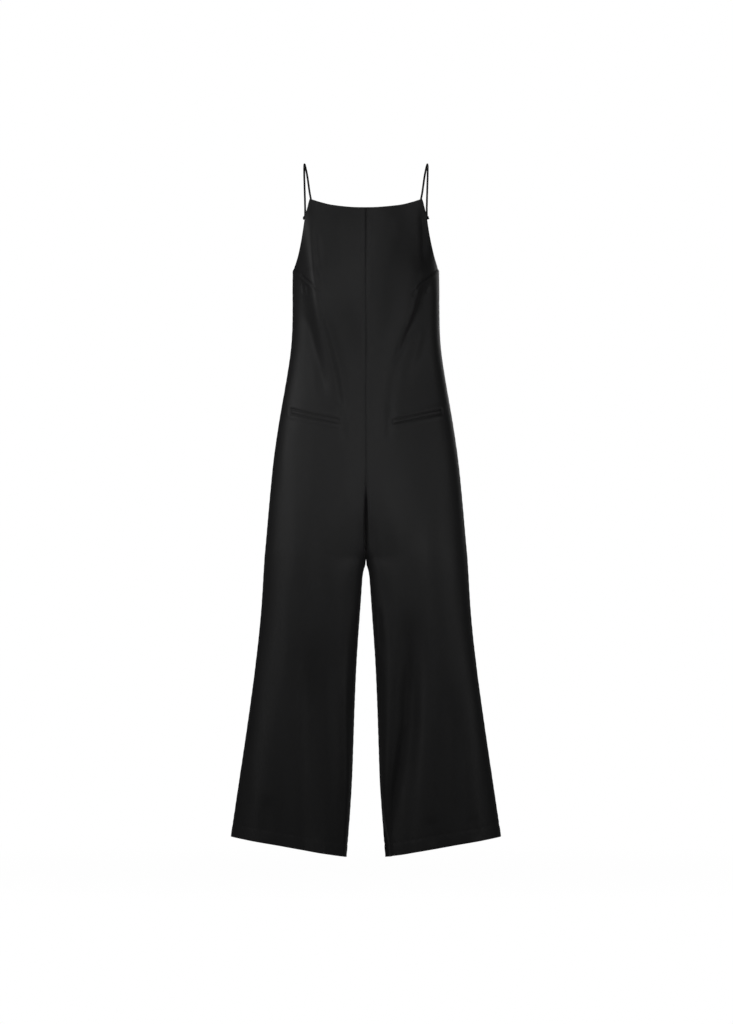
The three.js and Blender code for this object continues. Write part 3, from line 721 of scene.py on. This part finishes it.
def strap(word, material):
    """A shoulder strap: a strip of the cloth rolled into a tight cord and turned through."""
    side = SIDES[word]
    knot_low, knot_high = (np.array(corner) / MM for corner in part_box(f"strap_knot_{word}"))
    knot = (knot_low + knot_high) / 2
    route = [(side * row["x"], row["y"], -row["drop"]) for row in STRAP_RUN]
    route += [(side * 134.0, knot[1] - 1.2, knot[2] + 12), tuple(knot + (0, 0, 2))]
    points = curve_through(np.array(route, float), np.linspace(0, len(route) - 1, 240))
    piece = tube(f"rolled_strap_{word}", points, STRAP_RADIUS)
    crinkle(piece, 0.16, 2.4)
    finish_piece(piece, material)
    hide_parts(f"strap_{word}")
    return piece


def strap_knot(word, material):
    """The small tight knot that ends the strap on the back corner."""
    low, high = (np.array(corner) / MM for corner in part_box(f"strap_knot_{word}"))
    t = np.linspace(0, 2 * np.pi, KNOT["points"], endpoint=False)
    across, down = np.sin(t) + 2 * np.sin(2 * t), np.cos(t) - 2 * np.cos(2 * t)
    loops = np.column_stack([across, down, -1.3 * np.sin(3 * t)])
    loops *= (KNOT["radius"] - KNOT["cord"]) / 3
    tilted = loops @ np.array(Matrix.Rotation(math.radians(70), 3, "X") @ Matrix.Rotation(0.5, 3, "Z"))
    centre = (low + high) / 2 + (SIDES[word] * KNOT["out"], 0, 0)
    piece = tube(f"strap_end_knot_{word}", tilted + centre, KNOT["cord"], closed=True)
    crinkle(piece, 0.1, 1.6)
    finish_piece(piece, material)
    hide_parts(f"strap_knot_{word}")
    return piece


def zip_piece(node, name, body, material):
    """A cast metal piece of the zip: the solid's shape with its edges rounded."""
    piece = joined_copy(node, name)
    bpy.ops.object.mode_set(mode="EDIT")
    bpy.ops.mesh.select_all(action="SELECT")
    bpy.ops.mesh.dissolve_limited(angle_limit=math.radians(4))
    bpy.ops.object.mode_set(mode="OBJECT")
    edges = piece.modifiers.new("edges", "BEVEL")
    edges.width = 0.2 * MM
    edges.segments = 3
    edges.limit_method = "ANGLE"
    edges.angle_limit = math.radians(35)
    bpy.ops.object.modifier_apply(modifier=edges.name)
    bpy.ops.object.shade_smooth_by_angle(angle=math.radians(35))
    piece.data.materials.append(material)
    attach(piece, body)
    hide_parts(node)
    return piece


class Flow:
    """A shader socket that Python's operators work on."""

    def __init__(self, finish, socket):
        self.finish, self.socket = finish, socket

    def maths(self, operation, left, right):
        return self.finish.node("Math", {"operation": operation}, {0: left, 1: right})

    def __add__(self, other):
        return self.maths("ADD", self, other)

    def __mul__(self, other):
        return self.maths("MULTIPLY", self, other)

    __radd__ = __add__


class Finish:
    """A material and the nodes that make it."""

    def __init__(self, name):
        self.material = bpy.data.materials.new(name)
        self.material.use_nodes = True
        self.tree = self.material.node_tree
        self.tree.nodes.clear()

    def node(self, kind, settings=None, inputs=None, output=0):
        """A node of a type, with its settings and the values or links of its sockets, as a flow."""
        made = self.tree.nodes.new("ShaderNode" + kind)
        for key, value in (settings or {}).items():
            setattr(made, key, value)
        for key, value in (inputs or {}).items():
            if isinstance(value, Flow):
                self.tree.links.new(value.socket, made.inputs[key])
            else:
                made.inputs[key].default_value = value
        return Flow(self, made.outputs[output])

    def blend(self, share, low, high):
        """A colour from low to high."""
        colours = {"Factor": share, 6: low, 7: high}
        return self.node("Mix", {"data_type": "RGBA"}, colours, 2)

    def surface(self, **sockets):
        """The shader, with its sockets' names in words."""
        inputs = {key.replace("_", " "): value for key, value in sockets.items()}
        return self.close(self.node("BsdfPrincipled", None, inputs))

    def close(self, shader):
        """Puts a shader on the material's surface."""
        output = self.tree.nodes.new("ShaderNodeOutputMaterial")
        self.tree.links.new(shader.socket, output.inputs["Surface"])
        return self.material


def crepe(name, colour, light, woven_with_painted_shade):
    """Black crepe: fine crinkled threads, a pebbled face and a faint uneven sheen, and on the panels painted
    shade that darkens the seams, dart, welt and crevice.
    """
    finish = Finish(name)
    place = finish.node("TexCoord", output="Object")
    pebble = finish.node("TexNoise", None, {"Vector": place, "Scale": 850.0, "Detail": 3.0, "Roughness": 0.6})
    patch = finish.node("TexNoise", None, {"Vector": place, "Scale": 9.0, "Detail": 2.0, "Roughness": 0.5})
    height = pebble * 0.7
    if woven_with_painted_shade:
        cloth = finish.node("UVMap", {"uv_map": "cloth"})
        for direction in ("X", "Y"):
            settings = {"wave_type": "BANDS", "bands_direction": direction, "wave_profile": "SIN"}
            crimp = {"Vector": cloth, "Scale": 380.0, "Distortion": 1.4, "Detail": 1.0, "Detail Scale": 1.2}
            height = height + finish.node("TexWave", settings, crimp) * 0.25
    shade = finish.blend(pebble * 0.55 + patch * 0.45, colour, light)
    if woven_with_painted_shade:
        # Painted shade: the colour goes towards near-black in the seams, dart, welt and crevice, as strongly
        # as the vertex layer says.
        painted_shade = finish.node("Attribute", {"attribute_name": "painted_shade"}, output="Fac")
        shade = finish.blend(painted_shade * 0.75, shade, (0.002, 0.002, 0.0022, 1))
    bump = finish.node("Bump", None, {"Strength": 0.35, "Distance": 0.12 * MM, "Height": height})
    return finish.surface(
        Base_Color=shade,
        Roughness=0.43 + patch * 0.1 + pebble * 0.08,
        Normal=bump,
        Specular_IOR_Level=0.32,
        Sheen_Weight=0.06,
        Sheen_Roughness=0.5,
    )


def coated_metal():
    """Black coating over a cast zip slider, worn a little smoother in patches."""
    finish = Finish("black_coated_metal")
    place = finish.node("TexCoord", output="Object")
    wear = finish.node("TexNoise", None, {"Vector": place, "Scale": 260.0, "Detail": 3.0})
    grain = finish.node("TexNoise", None, {"Vector": place, "Scale": 2600.0, "Detail": 2.0})
    bump = finish.node("Bump", None, {"Strength": 0.15, "Distance": 0.03 * MM, "Height": grain})
    return finish.surface(
        Base_Color=finish.blend(wear, (0.006, 0.006, 0.006, 1), (0.014, 0.014, 0.014, 1)),
        Roughness=0.3 + wear * 0.2,
        Metallic=0.5,
        Normal=bump,
    )


def build_jumpsuit():
    """Every piece of the garment."""
    cloth = crepe("black_crepe", (0.0085, 0.0085, 0.009, 1), (0.0125, 0.0125, 0.013, 1), True)
    rolled = crepe("black_crepe_rolled", (0.006, 0.006, 0.0064, 1), (0.0095, 0.0095, 0.01, 1), False)
    thread = crepe("black_thread", (0.014, 0.014, 0.015, 1), (0.024, 0.024, 0.025, 1), False)
    metal = coated_metal()
    for word in SIDES:
        straps = [strap(word, rolled), strap_knot(word, rolled)]
        front = Panel("front", word)
        tree = front.tree()
        welt = pocket_welt(front, tree, cloth)
        stitches = [bar_tacks(front, tree, thread), hem_stitches(front, thread)]
        dress(front, cloth)
        back = Panel("back", word)
        hem = hem_stitches(back, thread)
        dress(back, cloth)
    zip_piece("zip_slider", "zip_slider_bridge", BODY, metal)
    zip_piece("zip_tab", "zip_pull_tab", "tab", metal)


def soft_light(name, place, towards, size, power):
    """A large square light that faces a point."""
    lamp = bpy.data.lights.new(name, "AREA")
    lamp.size = size
    lamp.energy = power
    light = bpy.data.objects.new(name, lamp)
    bpy.context.scene.collection.objects.link(light)
    light.location = place
    light.rotation_euler = (Vector(towards) - Vector(place)).to_track_quat("-Z", "Y").to_euler()


def studio():
    """A plain white floor and surround, the soft lights, and the camera."""
    bpy.ops.object.select_all(action="DESELECT")
    bpy.ops.mesh.primitive_plane_add(size=60, location=(0, 0, cad_box[0][2] - 0.03))
    floor = bpy.context.object
    floor.name = "floor"
    bpy.ops.object.transform_apply(location=True)
    paper = Finish("white_floor")
    seen = paper.node("LightPath", output="Is Camera Ray")
    glow = paper.node("Emission", None, {"Color": (1, 1, 1, 1), "Strength": 1.0})
    matt = paper.node("BsdfDiffuse", None, {"Color": (0.35, 0.35, 0.35, 1)})
    place = paper.node("TexCoord", output="Object")
    away = paper.node("VectorMath", {"operation": "LENGTH"}, {0: place}, 1)
    spread = paper.node("MapRange", None, {"Value": away, "From Min": 0.3, "From Max": 2.2, "To Min": 0.965})
    paper.close(paper.node("MixShader", None, {0: seen * spread, 1: matt, 2: glow}))
    floor.data.materials.append(paper.material)

    world = bpy.data.worlds.new("white_studio")
    bpy.context.scene.world = world
    world.use_nodes = True
    tree = world.node_tree
    background = tree.nodes["Background"]
    background.inputs["Color"].default_value = (1, 1, 1, 1)
    path = tree.nodes.new("ShaderNodeLightPath")
    level = tree.nodes.new("ShaderNodeMapRange")
    level.inputs["To Min"].default_value = 0.012
    level.inputs["To Max"].default_value = 1.0
    tree.links.new(path.outputs["Is Camera Ray"], level.inputs["Value"])
    tree.links.new(level.outputs["Result"], background.inputs["Strength"])

    for row in LIGHTS:
        soft_light(**row)

    bpy.context.scene.view_settings.view_transform = "Standard"
    lens = bpy.data.cameras.new("camera")
    lens.sensor_fit = "VERTICAL"
    lens.sensor_height = 36
    lens.lens = lens.sensor_height * CAMERA["distance"] / (CAMERA["rows"] * CAMERA["row"] * MM)
    camera = bpy.data.objects.new("camera", lens)
    bpy.context.scene.collection.objects.link(camera)
    camera.location = (CAMERA["across"], -CAMERA["distance"], CAMERA["level"])
    camera.rotation_euler = (math.pi / 2, 0, 0)
    bpy.context.scene.camera = camera


studio()
build_jumpsuit()
